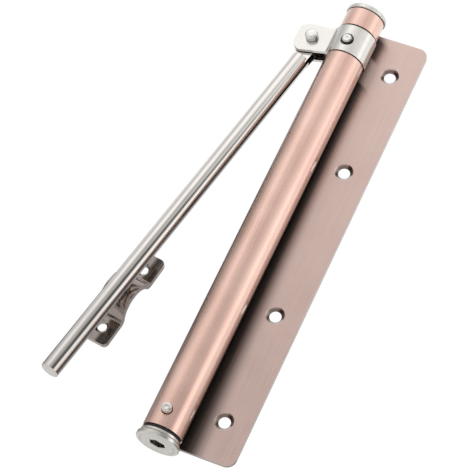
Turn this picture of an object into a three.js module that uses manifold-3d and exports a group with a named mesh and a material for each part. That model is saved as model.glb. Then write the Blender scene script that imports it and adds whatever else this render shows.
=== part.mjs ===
// Spring door closer with a torsion barrel on a screw-on mounting plate, a swinging clevis ring
// with a hinged arm rod, and a loose guide bracket for the other side of the door.
//
// Frame: millimetres, +Z up along the barrel, +X to the right across the plate, -Y out of the wall.
// The origin is on the flat back of the plate, on the line of screw holes, half way up.
import * as THREE from 'three';
import { mergeVertices } from 'three/addons/utils/BufferGeometryUtils.js';
import Module from 'manifold-3d';

// ---------------------------------------------------------------- driving dimensions, mm and degrees
const FIT_GAP = 0.3;             // clearance between two pieces that touch in the real closer
const ROUND_SEGMENTS = 48;       // facets round a full circle of the large turned pieces
const SMALL_SEGMENTS = 24;       // facets round pins, holes and other small turned pieces

const PLATE_LENGTH = 250;
const PLATE_WIDTH = 45;
const PLATE_THICKNESS = 2;
const PLATE_CORNER = 5;
const PLATE_HOLE_EDGE = 13.5;    // screw-hole line to the free long edge of the plate
const OUTER_HOLE_INSET = 21;     // each end of the plate to its end screw hole
const INNER_HOLE_HEIGHT = 43.3;  // height of the middle screw holes above and below the origin
const PLATE_HOLE_DIAMETER = 6;
const PLATE_SINK_DIAMETER = 9.5;

const BARREL_RADIUS = 10.1;
const BARREL_WALL = 1.6;
const BARREL_INSET = 10;         // barrel axis to the hidden long edge of the plate
const BARREL_STANDOFF = 1.4;     // weld gap between the plate and the barrel
const RING_HEIGHT = 16;
const RING_WALL = 1.8;
const RING_PROUD = 0.7;          // how far the ring stands out past the barrel
const RING_INSET = 11.9;         // top end of the plate to the top of the ring
const RING_ANGLE = -5;           // turn of the ring about the barrel axis in the rest pose
const RING_HOLE_CLEARANCE = 1;   // radial clearance of the drive pin in the ring
const WASHER_THICKNESS = 0.6;

const EAR_LENGTH = 17.6;         // outside of the ring to the far end of the ears
const EAR_HEIGHT = 16.4;
const EAR_DROP = 2;              // middle of the ears below the middle of the ring
const EAR_FILLET = 5;            // length of the curve from the top of the ring down to the ears
const EAR_CORNER = 5;
const EAR_THICKNESS = 1.8;
const RIVET_DISTANCE = 9.4;      // outside of the ring to the rivet
const RIVET_LIFT = 0.7;          // rivet above the middle of the ears
const RIVET_SHANK_DIAMETER = 4.6;
const RIVET_HEAD_DIAMETER = 6.6;
const RIVET_HEAD_PROUD = 2.8;

const ROD_DIAMETER = 9.4;
const ROD_LENGTH = 225.5;        // rivet to the free end of the rod
const ROD_ANGLE = 10.55;         // arm rod to the barrel in the rest pose
const ROD_END_CHAMFER = 0.6;
const TONGUE_THICKNESS = 5.2;
const TONGUE_CLEARANCE = 0.6;    // play of the tongue against each ear
const TONGUE_RADIUS = 5.4;
const SHOULDER_CLEARANCE = 1.555; // shoulder of the rod to the corners of the ears as it swings

const PIN_DIAMETER = 5;
const PIN_CLEARANCE = 0.3;       // radial clearance of a pin in its hole
const DRIVE_PIN_DROP = 0.9;      // drive pin below the middle of the ring
const DRIVE_PIN_PROUD = 1.3;
const DRIVE_PIN_LENGTH = 8.6;
const LOCK_PIN_INSET = 8.5;      // bottom end of the barrel to the lock pin
const LOCK_PIN_PROUD = 2.8;
const LOCK_PIN_GROOVE = 1.2;     // depth of the ring groove that the lock pin's tip runs in
const LOCK_PIN_TRAVEL = 2.5;     // how far the pin is pushed in to lock the plug
const LOCK_HOLE_COUNT = 6;

const TOP_CAP_PROUD = 0.5;       // how far the cap stands out past the barrel
const PLUG_PROUD = 0.9;          // how far the plug's flange stands out past the barrel
const TOP_CAP_HEIGHT = 3.5;
const TOP_CAP_SHANK = 2.6;
const SEAL_THICKNESS = 1;
const PLUG_BAND_HEIGHT = 1.3;
const PLUG_NECK_HEIGHT = 0.5;
const PLUG_FLANGE_HEIGHT = 2.5;
const PLUG_SHANK_LENGTH = 16;
const HEX_ACROSS_FLATS = 7.6;
const HEX_DEPTH = 6;

const SPRING_WIRE = 2.6;
const SPRING_CLEARANCE = 1.5;    // outside of the coil to the bore of the barrel
const SPRING_PITCH = 7.2;
const CORE_HUB_LENGTH = 16;      // drive core inside the top of the barrel
const LOWER_BUSH_WALL = 0.8;
const UPPER_BUSH_WALL = 2.3;
const JOURNAL_END_GAP = 1.6;     // top of the core to the top cap
const CORE_HOLE_COUNT = 4;

const BRACKET_LENGTH = 53.6;
const BRACKET_WIDTH = 15.5;
const BRACKET_THICKNESS = 3;
const BRACKET_CLEARANCE = 8.8;   // free height under the arch
const BRACKET_HALF_SPAN = 13.3;  // middle of the arch to where it leaves the feet
const BRACKET_FILLET = 2.4;      // bend between a foot and the arch, at the middle of the strap
const BRACKET_CORNER = 2.5;
const BRACKET_HOLE_OFFSET = 18.2;
const BRACKET_HOLE_DIAMETER = 4.8;
const BRACKET_SINK_DIAMETER = 7.6;
const BRACKET_ANGLE = 9;         // long axis of the bracket to the barrel
const BRACKET_DISTANCE = 168.3;  // rivet to the middle of the bracket, along the rod
const BRACKET_REST_GAP = 1;      // air between the rod and the top of the arch
const BRACKET_OFFSET = 0.7;      // middle of the bracket to the left of the middle of the rod

const WELD_LENGTH = 14;
const WELD_WIDTH = 9;
const LOWER_WELD_INSET = 25;     // bottom end of the barrel to the middle of the lowest weld
const UPPER_WELD_INSET = 16.8;   // top end of the barrel to the middle of the highest weld

// ---------------------------------------------------------------- sizes that follow from them
const radians = THREE.MathUtils.degToRad;
const halfLength = PLATE_LENGTH / 2;
const plateLeft = PLATE_HOLE_EDGE - PLATE_WIDTH;
const axisX = plateLeft + BARREL_INSET;
const axisY = -(PLATE_THICKNESS + BARREL_STANDOFF + BARREL_RADIUS);
const boreRadius = BARREL_RADIUS - BARREL_WALL;
const shankRadius = boreRadius - FIT_GAP;
const ringRadius = BARREL_RADIUS + RING_PROUD;
const ringBore = ringRadius - RING_WALL;
const ringTop = halfLength - RING_INSET;
const ringBottom = ringTop - RING_HEIGHT;
const ringMiddle = ringTop - RING_HEIGHT / 2;
const barrelTop = ringBottom - FIT_GAP;
const upperTubeBottom = ringTop + WASHER_THICKNESS + 2 * FIT_GAP;
const earInner = TONGUE_THICKNESS / 2 + TONGUE_CLEARANCE;
const earOuter = earInner + EAR_THICKNESS;
const earEnd = ringRadius + EAR_LENGTH;
const earMiddle = ringMiddle - EAR_DROP;
const rivetReach = ringRadius + RIVET_DISTANCE;
const rivetHeight = earMiddle + RIVET_LIFT;
const drivePinHeight = ringMiddle - DRIVE_PIN_DROP;
const lockPinHeight = LOCK_PIN_INSET - halfLength;
const earSweep = EAR_CORNER + Math.hypot(
  EAR_LENGTH - EAR_CORNER - RIVET_DISTANCE, EAR_HEIGHT / 2 - EAR_CORNER + RIVET_LIFT,
);
const shoulderDistance = earSweep + SHOULDER_CLEARANCE;
const rivetHoleRadius = RIVET_SHANK_DIAMETER / 2 + FIT_GAP;
const rodRadius = ROD_DIAMETER / 2;
const hubRadius = boreRadius - 2 * FIT_GAP - LOWER_BUSH_WALL;
const journalRadius = boreRadius - 2 * FIT_GAP - UPPER_BUSH_WALL;
const springRadius = boreRadius - SPRING_CLEARANCE - SPRING_WIRE / 2;
const capRadius = BARREL_RADIUS + TOP_CAP_PROUD;
const plugRadius = BARREL_RADIUS + PLUG_PROUD;
const bracketTop = BRACKET_CLEARANCE + BRACKET_THICKNESS;
const pinRadius = PIN_DIAMETER / 2;
const pinHoleRadius = pinRadius + PIN_CLEARANCE;

// ---------------------------------------------------------------- solids
const wasm = await Module();
wasm.setup();

// A closed three.js geometry as a manifold solid with its faces pointing out.
function solid(geometry) {
  const bare = geometry.clone();
  bare.deleteAttribute('normal');
  bare.deleteAttribute('uv');
  const merged = mergeVertices(bare, 1e-4);
  const points = merged.attributes.position.array;
  const corners = [];
  const index = merged.index.array;
  for (let i = 0; i < index.length; i += 3) {
    const [a, b, c] = [index[i], index[i + 1], index[i + 2]];
    if (a !== b && b !== c && c !== a) corners.push(a, b, c);
  }
  if (signedVolume(points, corners) < 0) corners.reverse();
  return new wasm.Manifold(new wasm.Mesh({
    numProp: 3,
    vertProperties: Float32Array.from(points),
    triVerts: Uint32Array.from(corners),
  }));
}

function signedVolume(points, corners) {
  const [a, b, c] = [new THREE.Vector3(), new THREE.Vector3(), new THREE.Vector3()];
  let volume = 0;
  for (let i = 0; i < corners.length; i += 3) {
    a.fromArray(points, 3 * corners[i]);
    b.fromArray(points, 3 * corners[i + 1]);
    c.fromArray(points, 3 * corners[i + 2]);
    volume += a.dot(b.cross(c)) / 6;
  }
  return volume;
}

function geometryOf(manifold) {
  const mesh = manifold.getMesh();
  const geometry = new THREE.BufferGeometry();
  geometry.setAttribute('position', new THREE.BufferAttribute(Float32Array.from(mesh.vertProperties), 3));
  geometry.setIndex(new THREE.BufferAttribute(Uint32Array.from(mesh.triVerts), 1));
  geometry.computeVertexNormals();
  return geometry;
}

// A turned solid about Z from a list of [radius, height] points.
function turned(profile, segments = ROUND_SEGMENTS) {
  const points = profile.map(([radius, height]) => new THREE.Vector2(radius, height));
  return solid(new THREE.LatheGeometry(points, segments).rotateX(Math.PI / 2));
}

function tube(outer, inner, bottom, top, segments = ROUND_SEGMENTS) {
  return turned([[inner, bottom], [outer, bottom], [outer, top], [inner, top], [inner, bottom]], segments);
}

// A solid cylinder about Z with a chamfer at each end.
function bar(radius, bottom, top, chamfer = 0, segments = ROUND_SEGMENTS) {
  if (chamfer === 0) return turned([[0, bottom], [radius, bottom], [radius, top], [0, top]], segments);
  return turned([
    [0, bottom], [radius - chamfer, bottom], [radius, bottom + chamfer],
    [radius, top - chamfer], [radius - chamfer, top], [0, top],
  ], segments);
}

// A cylinder along Y from y = from to y = to, at x = 0 and the given height.
function crossBar(radius, from, to, height, chamfer = 0) {
  return bar(radius, -to, -from, chamfer, SMALL_SEGMENTS).rotate([90, 0, 0]).translate([0, 0, height]);
}

// A flat outline in X and Z, pushed from y = front to y = back.
function pushedAlongY(shape, front, back) {
  const geometry = new THREE.ExtrudeGeometry(shape, {
    depth: back - front, bevelEnabled: false, curveSegments: 12,
  });
  return solid(geometry.rotateX(Math.PI / 2)).translate([0, back, 0]);
}

function roundedRectangle(left, right, bottom, top, corner) {
  const shape = new THREE.Shape();
  shape.absarc(right - corner, top - corner, corner, 0, Math.PI / 2);
  shape.absarc(left + corner, top - corner, corner, Math.PI / 2, Math.PI);
  shape.absarc(left + corner, bottom + corner, corner, Math.PI, 1.5 * Math.PI);
  shape.absarc(right - corner, bottom + corner, corner, 1.5 * Math.PI, 2 * Math.PI);
  return shape;
}

// The tool that cuts a countersunk screw hole along Y, its mouth on the plane y = front.
function screwHole(diameter, sinkDiameter, front, back) {
  const sinkDepth = (sinkDiameter - diameter) / 2;
  const over = 1;
  return turned([
    [0, -over], [diameter / 2, -over], [diameter / 2, back - front - sinkDepth],
    [sinkDiameter / 2, back - front], [sinkDiameter / 2 + over, back - front + over],
    [0, back - front + over],
  ], SMALL_SEGMENTS).rotate([90, 0, 0]).translate([0, back, 0]);
}

// ---------------------------------------------------------------- the scene graph
const closer = new THREE.Group();
const barrelAxis = new THREE.Group();
barrelAxis.position.set(axisX, axisY, 0);
closer.add(barrelAxis);
const ringFrame = new THREE.Group();
ringFrame.rotation.z = radians(RING_ANGLE);
barrelAxis.add(ringFrame);
const rodFrame = new THREE.Group();
rodFrame.position.set(-rivetReach, 0, rivetHeight);
rodFrame.rotation.y = radians(ROD_ANGLE);
ringFrame.add(rodFrame);

const finishes = {
  copper: { color: 0xb98b7a, roughness: 0.35, metalness: 1 },
  satinNickel: { color: 0xc8c5be, roughness: 0.35, metalness: 1 },
  brightNickel: { color: 0xd6d4d0, roughness: 0.15, metalness: 1 },
  pinSteel: { color: 0xd0cfcb, roughness: 0.3, metalness: 1 },
  springSteel: { color: 0x55565a, roughness: 0.45, metalness: 1 },
  coreSteel: { color: 0x8d8d90, roughness: 0.4, metalness: 1 },
  blackNylon: { color: 0x141414, roughness: 0.6, metalness: 0 },
  paleNylon: { color: 0xd9d6cb, roughness: 0.6, metalness: 0 },
  weld: { color: 0x8c6a5c, roughness: 0.6, metalness: 1 },
};

function place(name, manifold, finish, parent) {
  const mesh = new THREE.Mesh(geometryOf(manifold), new THREE.MeshStandardMaterial(finishes[finish]));
  mesh.name = name;
  parent.add(mesh);
}

// ---------------------------------------------------------------- mounting plate
function mountingPlate() {
  const outline = roundedRectangle(plateLeft, PLATE_HOLE_EDGE, -halfLength, halfLength, PLATE_CORNER);
  let plate = pushedAlongY(outline, -PLATE_THICKNESS, 0);
  const outerHoleHeight = halfLength - OUTER_HOLE_INSET;
  const heights = [outerHoleHeight, INNER_HOLE_HEIGHT, -INNER_HOLE_HEIGHT, -outerHoleHeight];
  for (const height of heights) {
    const cut = screwHole(PLATE_HOLE_DIAMETER, PLATE_SINK_DIAMETER, -PLATE_THICKNESS, 0);
    plate = plate.subtract(cut.translate([0, 0, height]));
  }
  return plate;
}
place('mounting_plate', mountingPlate(), 'copper', closer);

// ---------------------------------------------------------------- barrel, upper tube and their welds
const lockPinHole = crossBar(pinHoleRadius, -2 * BARREL_RADIUS, 0, lockPinHeight);
const barrel = tube(BARREL_RADIUS, boreRadius, -halfLength, barrelTop);
place('spring_barrel', barrel.subtract(lockPinHole), 'copper', barrelAxis);
place('upper_tube', tube(BARREL_RADIUS, boreRadius, upperTubeBottom, halfLength), 'copper', barrelAxis);

// A weld is a pad that fills the gap between the plate and the round of a tube.
function weld(middle, length) {
  const front = -BARREL_RADIUS / 2;
  const back = BARREL_RADIUS + BARREL_STANDOFF - FIT_GAP;
  const outline = roundedRectangle(-WELD_WIDTH / 2, WELD_WIDTH / 2, -length / 2, length / 2, 2);
  const pad = pushedAlongY(outline, front, back);
  const round = bar(BARREL_RADIUS + FIT_GAP, -length, length);
  return pad.subtract(round).translate([0, 0, middle]);
}
const weldHeights = [LOWER_WELD_INSET - halfLength, 0, barrelTop - UPPER_WELD_INSET];
weldHeights.forEach((height, number) => {
  place(`barrel_weld_${number + 1}`, weld(height, WELD_LENGTH), 'weld', barrelAxis);
});
const upperTubeLength = halfLength - upperTubeBottom;
const upperTubeMiddle = upperTubeBottom + upperTubeLength / 2;
place('upper_tube_weld', weld(upperTubeMiddle, 0.7 * upperTubeLength), 'weld', barrelAxis);

// ---------------------------------------------------------------- top cap
const capBottom = halfLength + FIT_GAP;
place('top_cap', turned([
  [0, capBottom - TOP_CAP_SHANK],
  [shankRadius, capBottom - TOP_CAP_SHANK],
  [shankRadius, capBottom],
  [capRadius - 0.4, capBottom],
  [capRadius, capBottom + 0.4],
  [capRadius, capBottom + 0.5 * TOP_CAP_HEIGHT],
  [capRadius - 0.5, capBottom + 0.78 * TOP_CAP_HEIGHT],
  [capRadius - 1.6, capBottom + 0.95 * TOP_CAP_HEIGHT],
  [capRadius - 3.5, capBottom + TOP_CAP_HEIGHT],
  [0, capBottom + TOP_CAP_HEIGHT],
]), 'satinNickel', barrelAxis);

// ---------------------------------------------------------------- drive core, its bushes and washer
const hubBottom = ringBottom - CORE_HUB_LENGTH;
const drumRadius = ringBore - FIT_GAP;
const journalTop = capBottom - TOP_CAP_SHANK - JOURNAL_END_GAP;
const springSlotDepth = 5;
const springSlotWidth = SPRING_WIRE + 2 * FIT_GAP;

function driveCore() {
  let core = turned([
    [0, hubBottom], [hubRadius, hubBottom], [hubRadius, ringBottom],
    [drumRadius, ringBottom], [drumRadius, ringTop],
    [journalRadius, ringTop], [journalRadius, journalTop], [0, journalTop],
  ]);
  const slot = solid(new THREE.BoxGeometry(hubRadius, springSlotWidth, 2 * springSlotDepth));
  core = core.subtract(slot.translate([springRadius, 0, hubBottom]));
  const pinEnd = ringRadius + DRIVE_PIN_PROUD - DRIVE_PIN_LENGTH;
  const hole = crossBar(pinHoleRadius, -2 * ringRadius, -pinEnd + FIT_GAP, drivePinHeight);
  for (let i = 0; i < CORE_HOLE_COUNT; i += 1) {
    core = core.subtract(hole.rotate([0, 0, (360 * i) / CORE_HOLE_COUNT]));
  }
  return core;
}
place('drive_core', driveCore(), 'coreSteel', ringFrame);

const lowerBush = tube(boreRadius - FIT_GAP, hubRadius + FIT_GAP, hubBottom, barrelTop - FIT_GAP);
place('lower_bush', lowerBush, 'paleNylon', barrelAxis);
const bushTop = capBottom - TOP_CAP_SHANK - FIT_GAP;
const upperBush = tube(boreRadius - FIT_GAP, journalRadius + FIT_GAP, upperTubeBottom, bushTop);
place('upper_bush', upperBush, 'paleNylon', barrelAxis);
const washerBottom = ringTop + FIT_GAP;
place('ring_washer', tube(
  BARREL_RADIUS, journalRadius + FIT_GAP, washerBottom, washerBottom + WASHER_THICKNESS,
), 'blackNylon', barrelAxis);

// ---------------------------------------------------------------- clevis ring with its two ears
function clevisRing() {
  const earTop = earMiddle + EAR_HEIGHT / 2;
  const earBottom = earMiddle - EAR_HEIGHT / 2;
  const earRoot = -0.8 * ringBore;
  const outline = new THREE.Shape();
  outline.moveTo(earRoot, ringBottom);
  outline.lineTo(earRoot, ringTop);
  outline.lineTo(-0.85 * ringRadius, ringTop);
  outline.quadraticCurveTo(-ringRadius, earTop, -ringRadius - EAR_FILLET, earTop);
  outline.absarc(EAR_CORNER - earEnd, earTop - EAR_CORNER, EAR_CORNER, Math.PI / 2, Math.PI);
  outline.absarc(EAR_CORNER - earEnd, earBottom + EAR_CORNER, EAR_CORNER, Math.PI, 1.5 * Math.PI);
  outline.lineTo(-ringRadius, ringBottom);
  outline.closePath();
  let band = tube(ringRadius, ringBore, ringBottom, ringTop);
  for (const front of [-earOuter, earInner]) {
    band = band.add(pushedAlongY(outline, front, front + EAR_THICKNESS));
  }
  band = band.subtract(bar(ringBore, ringBottom - 1, ringTop + 1));
  const slotLength = 2 * ringRadius;
  const slot = solid(new THREE.BoxGeometry(slotLength, 2 * earInner, 2 * RING_HEIGHT));
  band = band.subtract(slot.translate([-slotLength / 2 - ringBore / 2, 0, ringMiddle]));
  const pinHole = crossBar(pinRadius + RING_HOLE_CLEARANCE, -2 * ringRadius, 0, drivePinHeight);
  const rivetHole = crossBar(rivetHoleRadius, -2 * earOuter, 2 * earOuter, rivetHeight);
  return band.subtract(pinHole).subtract(rivetHole.translate([-rivetReach, 0, 0]));
}
place('clevis_ring', clevisRing(), 'satinNickel', ringFrame);

const pinFace = -(ringRadius + DRIVE_PIN_PROUD);
place('drive_pin', crossBar(pinRadius, pinFace, pinFace + DRIVE_PIN_LENGTH, drivePinHeight, 0.4),
  'pinSteel', ringFrame);

// ---------------------------------------------------------------- rivet through the ears and the tongue
function rivet() {
  const headRadius = RIVET_HEAD_DIAMETER / 2;
  const faceFront = earOuter + FIT_GAP;
  const tailLength = 1.4;
  return turned([
    [0, -faceFront - tailLength], [headRadius - 0.6, -faceFront - tailLength],
    [headRadius + 0.2, -faceFront - 0.5 * tailLength], [headRadius + 0.2, -faceFront],
    [RIVET_SHANK_DIAMETER / 2, -faceFront], [RIVET_SHANK_DIAMETER / 2, faceFront],
    [headRadius, faceFront], [headRadius, faceFront + RIVET_HEAD_PROUD - 0.7],
    [headRadius - 0.7, faceFront + RIVET_HEAD_PROUD], [0, faceFront + RIVET_HEAD_PROUD],
  ], SMALL_SEGMENTS).rotate([90, 0, 0]).translate([-rivetReach, 0, rivetHeight]);
}
place('ear_rivet', rivet(), 'pinSteel', ringFrame);

// ---------------------------------------------------------------- arm rod
// The play in the riveted joint lets the rod lean out of the plane of the ears, so that it passes
// over the top of the bracket. The lean follows from the heights of the rivet and the bracket.
const ringTurn = radians(RING_ANGLE);
const rodTurn = radians(ROD_ANGLE);
const shoulderY = axisY - Math.sin(ringTurn) * (rivetReach + shoulderDistance * Math.sin(rodTurn));
const restY = -(bracketTop + BRACKET_REST_GAP + rodRadius);
const rodSlope = (shoulderY - restY) / (BRACKET_DISTANCE - shoulderDistance);
const planeDip = -Math.sin(rodTurn) * Math.sin(ringTurn);
const rodLean = Math.atan2(planeDip, Math.cos(ringTurn))
  + Math.asin(rodSlope / Math.hypot(planeDip, Math.cos(ringTurn)));

function armRod() {
  const outline = new THREE.Shape();
  const tongueEnd = -shoulderDistance - 2;
  const neck = 0.95 * rodRadius;
  outline.moveTo(-neck, tongueEnd);
  outline.lineTo(neck, tongueEnd);
  outline.lineTo(neck, -shoulderDistance);
  outline.absarc(0, 0, TONGUE_RADIUS, 0, Math.PI);
  outline.lineTo(-neck, -shoulderDistance);
  outline.closePath();
  const tongue = pushedAlongY(outline, -TONGUE_THICKNESS / 2, TONGUE_THICKNESS / 2);
  const roundLength = ROD_LENGTH - shoulderDistance;
  const round = bar(rodRadius, -roundLength, 0, ROD_END_CHAMFER, 32);
  const leaned = round.rotate([-THREE.MathUtils.radToDeg(rodLean), 0, 0]);
  const hole = crossBar(rivetHoleRadius, -2 * earOuter, 2 * earOuter, 0);
  return tongue.add(leaned.translate([0, 0, -shoulderDistance])).subtract(hole);
}
place('arm_rod', armRod(), 'brightNickel', rodFrame);

// ---------------------------------------------------------------- tension plug, seal and lock pin
const sealTop = -halfLength - FIT_GAP;
const plugTop = sealTop - SEAL_THICKNESS - FIT_GAP;
const plugNeck = plugTop - PLUG_BAND_HEIGHT;
const plugFlange = plugNeck - PLUG_NECK_HEIGHT;
const plugFace = plugFlange - PLUG_FLANGE_HEIGHT;
const shankTop = -halfLength + PLUG_SHANK_LENGTH;
const grooveRadius = shankRadius - LOCK_PIN_GROOVE;
const grooveHalfWidth = pinHoleRadius;
const lockPinTip = grooveRadius + FIT_GAP;
place('plug_seal', tube(BARREL_RADIUS - 0.4, shankRadius + FIT_GAP, sealTop - SEAL_THICKNESS, sealTop),
  'blackNylon', barrelAxis);

function tensionPlug() {
  let plug = turned([
    [0, plugFace], [plugRadius - 1, plugFace], [plugRadius, plugFace + 0.8],
    [plugRadius, plugFlange - 0.3], [plugRadius - 0.3, plugFlange],
    [BARREL_RADIUS - 0.5, plugFlange], [BARREL_RADIUS - 0.5, plugNeck],
    [BARREL_RADIUS, plugNeck], [BARREL_RADIUS, plugTop], [shankRadius, plugTop],
    [shankRadius, lockPinHeight - grooveHalfWidth], [grooveRadius, lockPinHeight - grooveHalfWidth],
    [grooveRadius, lockPinHeight + grooveHalfWidth], [shankRadius, lockPinHeight + grooveHalfWidth],
    [shankRadius, shankTop], [0, shankTop],
  ]);
  const key = solid(new THREE.CylinderGeometry(
    HEX_ACROSS_FLATS / Math.sqrt(3), HEX_ACROSS_FLATS / Math.sqrt(3), 2 * HEX_DEPTH, 6,
  ).rotateX(Math.PI / 2));
  plug = plug.subtract(key.translate([0, 0, plugFace]));
  const holeEnd = -(grooveRadius - LOCK_PIN_TRAVEL - FIT_GAP);
  const hole = crossBar(pinHoleRadius, -2 * BARREL_RADIUS, holeEnd, lockPinHeight);
  for (let i = 0; i < LOCK_HOLE_COUNT; i += 1) {
    plug = plug.subtract(hole.rotate([0, 0, (360 * i) / LOCK_HOLE_COUNT]));
  }
  return plug;
}
place('tension_plug', tensionPlug(), 'satinNickel', barrelAxis);
place('lock_pin', crossBar(pinRadius, -(BARREL_RADIUS + LOCK_PIN_PROUD), -lockPinTip, lockPinHeight, 0.4),
  'pinSteel', barrelAxis);

// ---------------------------------------------------------------- torsion spring
// The coil ends in a straight leg that stands in the slot of the drive core.
const coilBottom = shankTop + FIT_GAP + SPRING_WIRE / 2;
const coilTop = hubBottom - FIT_GAP - SPRING_WIRE / 2 - 2;
const coilTurns = (coilTop - coilBottom) / SPRING_PITCH;
const legLength = springSlotDepth + 1;

class SpringPath extends THREE.Curve {
  getPoint(t, target = new THREE.Vector3()) {
    const bend = 0.004;
    const coil = Math.min(t / (1 - bend), 1);
    const rise = Math.max((t - (1 - bend)) / bend, 0);
    const angle = 2 * Math.PI * coilTurns * (coil - 1);
    const height = coilBottom + (coilTop - coilBottom) * coil + legLength * rise;
    return target.set(springRadius * Math.cos(angle), springRadius * Math.sin(angle), height);
  }
}

function torsionSpring() {
  const section = new THREE.Shape();
  section.absarc(0, 0, SPRING_WIRE / 2, 0, 2 * Math.PI);
  const geometry = new THREE.ExtrudeGeometry(section, {
    steps: Math.round(12 * coilTurns), curveSegments: 3, bevelEnabled: false, extrudePath: new SpringPath(),
  });
  return solid(geometry);
}
place('torsion_spring', torsionSpring(), 'springSteel', ringFrame);

// ---------------------------------------------------------------- guide bracket
// A bent strap with two screw feet and an arch that the rod slides under in use. It is supplied
// loose, so it lies flat in the plane of the plate's back, under the rod.
function guideBracket() {
  const half = BRACKET_THICKNESS / 2;
  const bend = 2 * Math.atan(BRACKET_CLEARANCE / BRACKET_HALF_SPAN);
  const crown = BRACKET_HALF_SPAN / Math.sin(bend) - BRACKET_FILLET;
  const filletHeight = half + BRACKET_FILLET;
  const crownHeight = half + BRACKET_CLEARANCE - crown;
  const end = BRACKET_LENGTH / 2;
  const quarter = Math.PI / 2;
  const side = new THREE.Shape();
  side.moveTo(-end, 0);
  side.absarc(-BRACKET_HALF_SPAN, filletHeight, BRACKET_FILLET + half, -quarter, -quarter + bend, false);
  side.absarc(0, crownHeight, crown - half, quarter + bend, quarter - bend, true);
  side.absarc(BRACKET_HALF_SPAN, filletHeight, BRACKET_FILLET + half, -quarter - bend, -quarter, false);
  side.lineTo(end, 0);
  side.lineTo(end, BRACKET_THICKNESS);
  side.absarc(BRACKET_HALF_SPAN, filletHeight, BRACKET_FILLET - half, -quarter, -quarter - bend, true);
  side.absarc(0, crownHeight, crown + half, quarter - bend, quarter + bend, false);
  side.absarc(-BRACKET_HALF_SPAN, filletHeight, BRACKET_FILLET - half, -quarter + bend, -quarter, true);
  side.lineTo(-end, BRACKET_THICKNESS);
  side.closePath();
  // The side view lies in X and Y; standing it up turns X to +Z and Y to -Y.
  const strap = solid(new THREE.ExtrudeGeometry(side, {
    depth: BRACKET_WIDTH, bevelEnabled: false, curveSegments: 14,
  })).translate([0, 0, -BRACKET_WIDTH / 2]).rotate([0, -90, 0]).rotate([0, 0, 180]);
  const width = BRACKET_WIDTH / 2;
  const plan = roundedRectangle(-width, width, -end, end, BRACKET_CORNER);
  let bracket = strap.intersect(pushedAlongY(plan, -2 * bracketTop, bracketTop));
  for (const offset of [-BRACKET_HOLE_OFFSET, BRACKET_HOLE_OFFSET]) {
    const cut = screwHole(BRACKET_HOLE_DIAMETER, BRACKET_SINK_DIAMETER, -BRACKET_THICKNESS, 0);
    bracket = bracket.subtract(cut.translate([0, 0, offset]));
  }
  return bracket;
}
// The point of the rod's axis over the middle of the bracket, in the frame of the whole closer.
const rodOverBracket = new THREE.Vector3(0, 0, -(BRACKET_DISTANCE - shoulderDistance));
rodOverBracket.applyAxisAngle(new THREE.Vector3(1, 0, 0), -rodLean);
rodOverBracket.z -= shoulderDistance;
closer.updateMatrixWorld(true);
rodOverBracket.applyMatrix4(rodFrame.matrixWorld);
const bracketFrame = new THREE.Group();
bracketFrame.position.set(rodOverBracket.x - BRACKET_OFFSET, 0, rodOverBracket.z);
bracketFrame.rotation.y = radians(BRACKET_ANGLE);
closer.add(bracketFrame);
place('guide_bracket', guideBracket(), 'brightNickel', bracketFrame);

export default closer;
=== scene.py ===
import math

import bmesh
import bpy
from mathutils import Matrix, Quaternion, Vector


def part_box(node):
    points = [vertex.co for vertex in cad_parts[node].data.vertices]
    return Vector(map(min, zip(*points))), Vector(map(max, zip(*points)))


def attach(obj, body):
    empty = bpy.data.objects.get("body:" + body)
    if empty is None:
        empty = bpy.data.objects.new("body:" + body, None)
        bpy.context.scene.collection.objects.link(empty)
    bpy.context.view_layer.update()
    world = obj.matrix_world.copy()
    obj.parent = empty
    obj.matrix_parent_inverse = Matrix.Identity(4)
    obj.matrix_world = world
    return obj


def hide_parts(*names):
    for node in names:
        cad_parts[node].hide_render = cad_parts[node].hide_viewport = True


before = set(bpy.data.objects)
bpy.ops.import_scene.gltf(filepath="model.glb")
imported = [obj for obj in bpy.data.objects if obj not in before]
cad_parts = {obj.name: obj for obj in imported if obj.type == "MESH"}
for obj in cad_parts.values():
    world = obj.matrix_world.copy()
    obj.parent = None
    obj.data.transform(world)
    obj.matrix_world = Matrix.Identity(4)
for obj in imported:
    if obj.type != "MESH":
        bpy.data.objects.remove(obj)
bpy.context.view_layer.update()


# ---- Studio: a white sweep, soft light and the camera ----------------------------------------
# The closer is shown as a product: a white surround, a pale floor far below it, one broad soft
# lamp on each side, and a long lens low on the right that looks up and to the left at it.
bpy.context.scene.view_settings.view_transform = "Standard"

camera_place = Vector((0.2867, -1.0213, -0.5019))
camera_heading = math.radians(-17.59)      # turn from straight ahead; below zero is to the left
camera_rise = math.radians(24.73)          # how far the lens points above level
camera_roll = math.radians(26.42)          # turn of the camera about its line of sight
camera_lens = 182.26                       # focal length in millimetres
camera_near = 0.05                         # nearest thing it shows, in metres
sight = Vector((
    math.sin(camera_heading) * math.cos(camera_rise),
    math.cos(camera_heading) * math.cos(camera_rise),
    math.sin(camera_rise),
))
aim = sight.to_track_quat("-Z", "Y") @ Quaternion((0, 0, 1), camera_roll)
bpy.ops.object.camera_add(location=camera_place, rotation=aim.to_euler())
camera = bpy.context.object
camera.data.lens = camera_lens
camera.data.clip_start = camera_near
bpy.context.scene.camera = camera

floor_height = -0.62
floor_size = 12
bpy.ops.object.select_all(action="DESELECT")
bpy.ops.mesh.primitive_plane_add(size=floor_size, location=(0, 0, floor_height))
floor = bpy.context.object
floor.name = "studio_floor"
floor_paint = bpy.data.materials.new("pale_floor")
floor_paint.use_nodes = True
floor_shader = floor_paint.node_tree.nodes["Principled BSDF"]
floor_shader.inputs["Base Color"].default_value = (0.86, 0.86, 0.85, 1)
floor_shader.inputs["Roughness"].default_value = 0.9
floor.data.materials.append(floor_paint)


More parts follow.
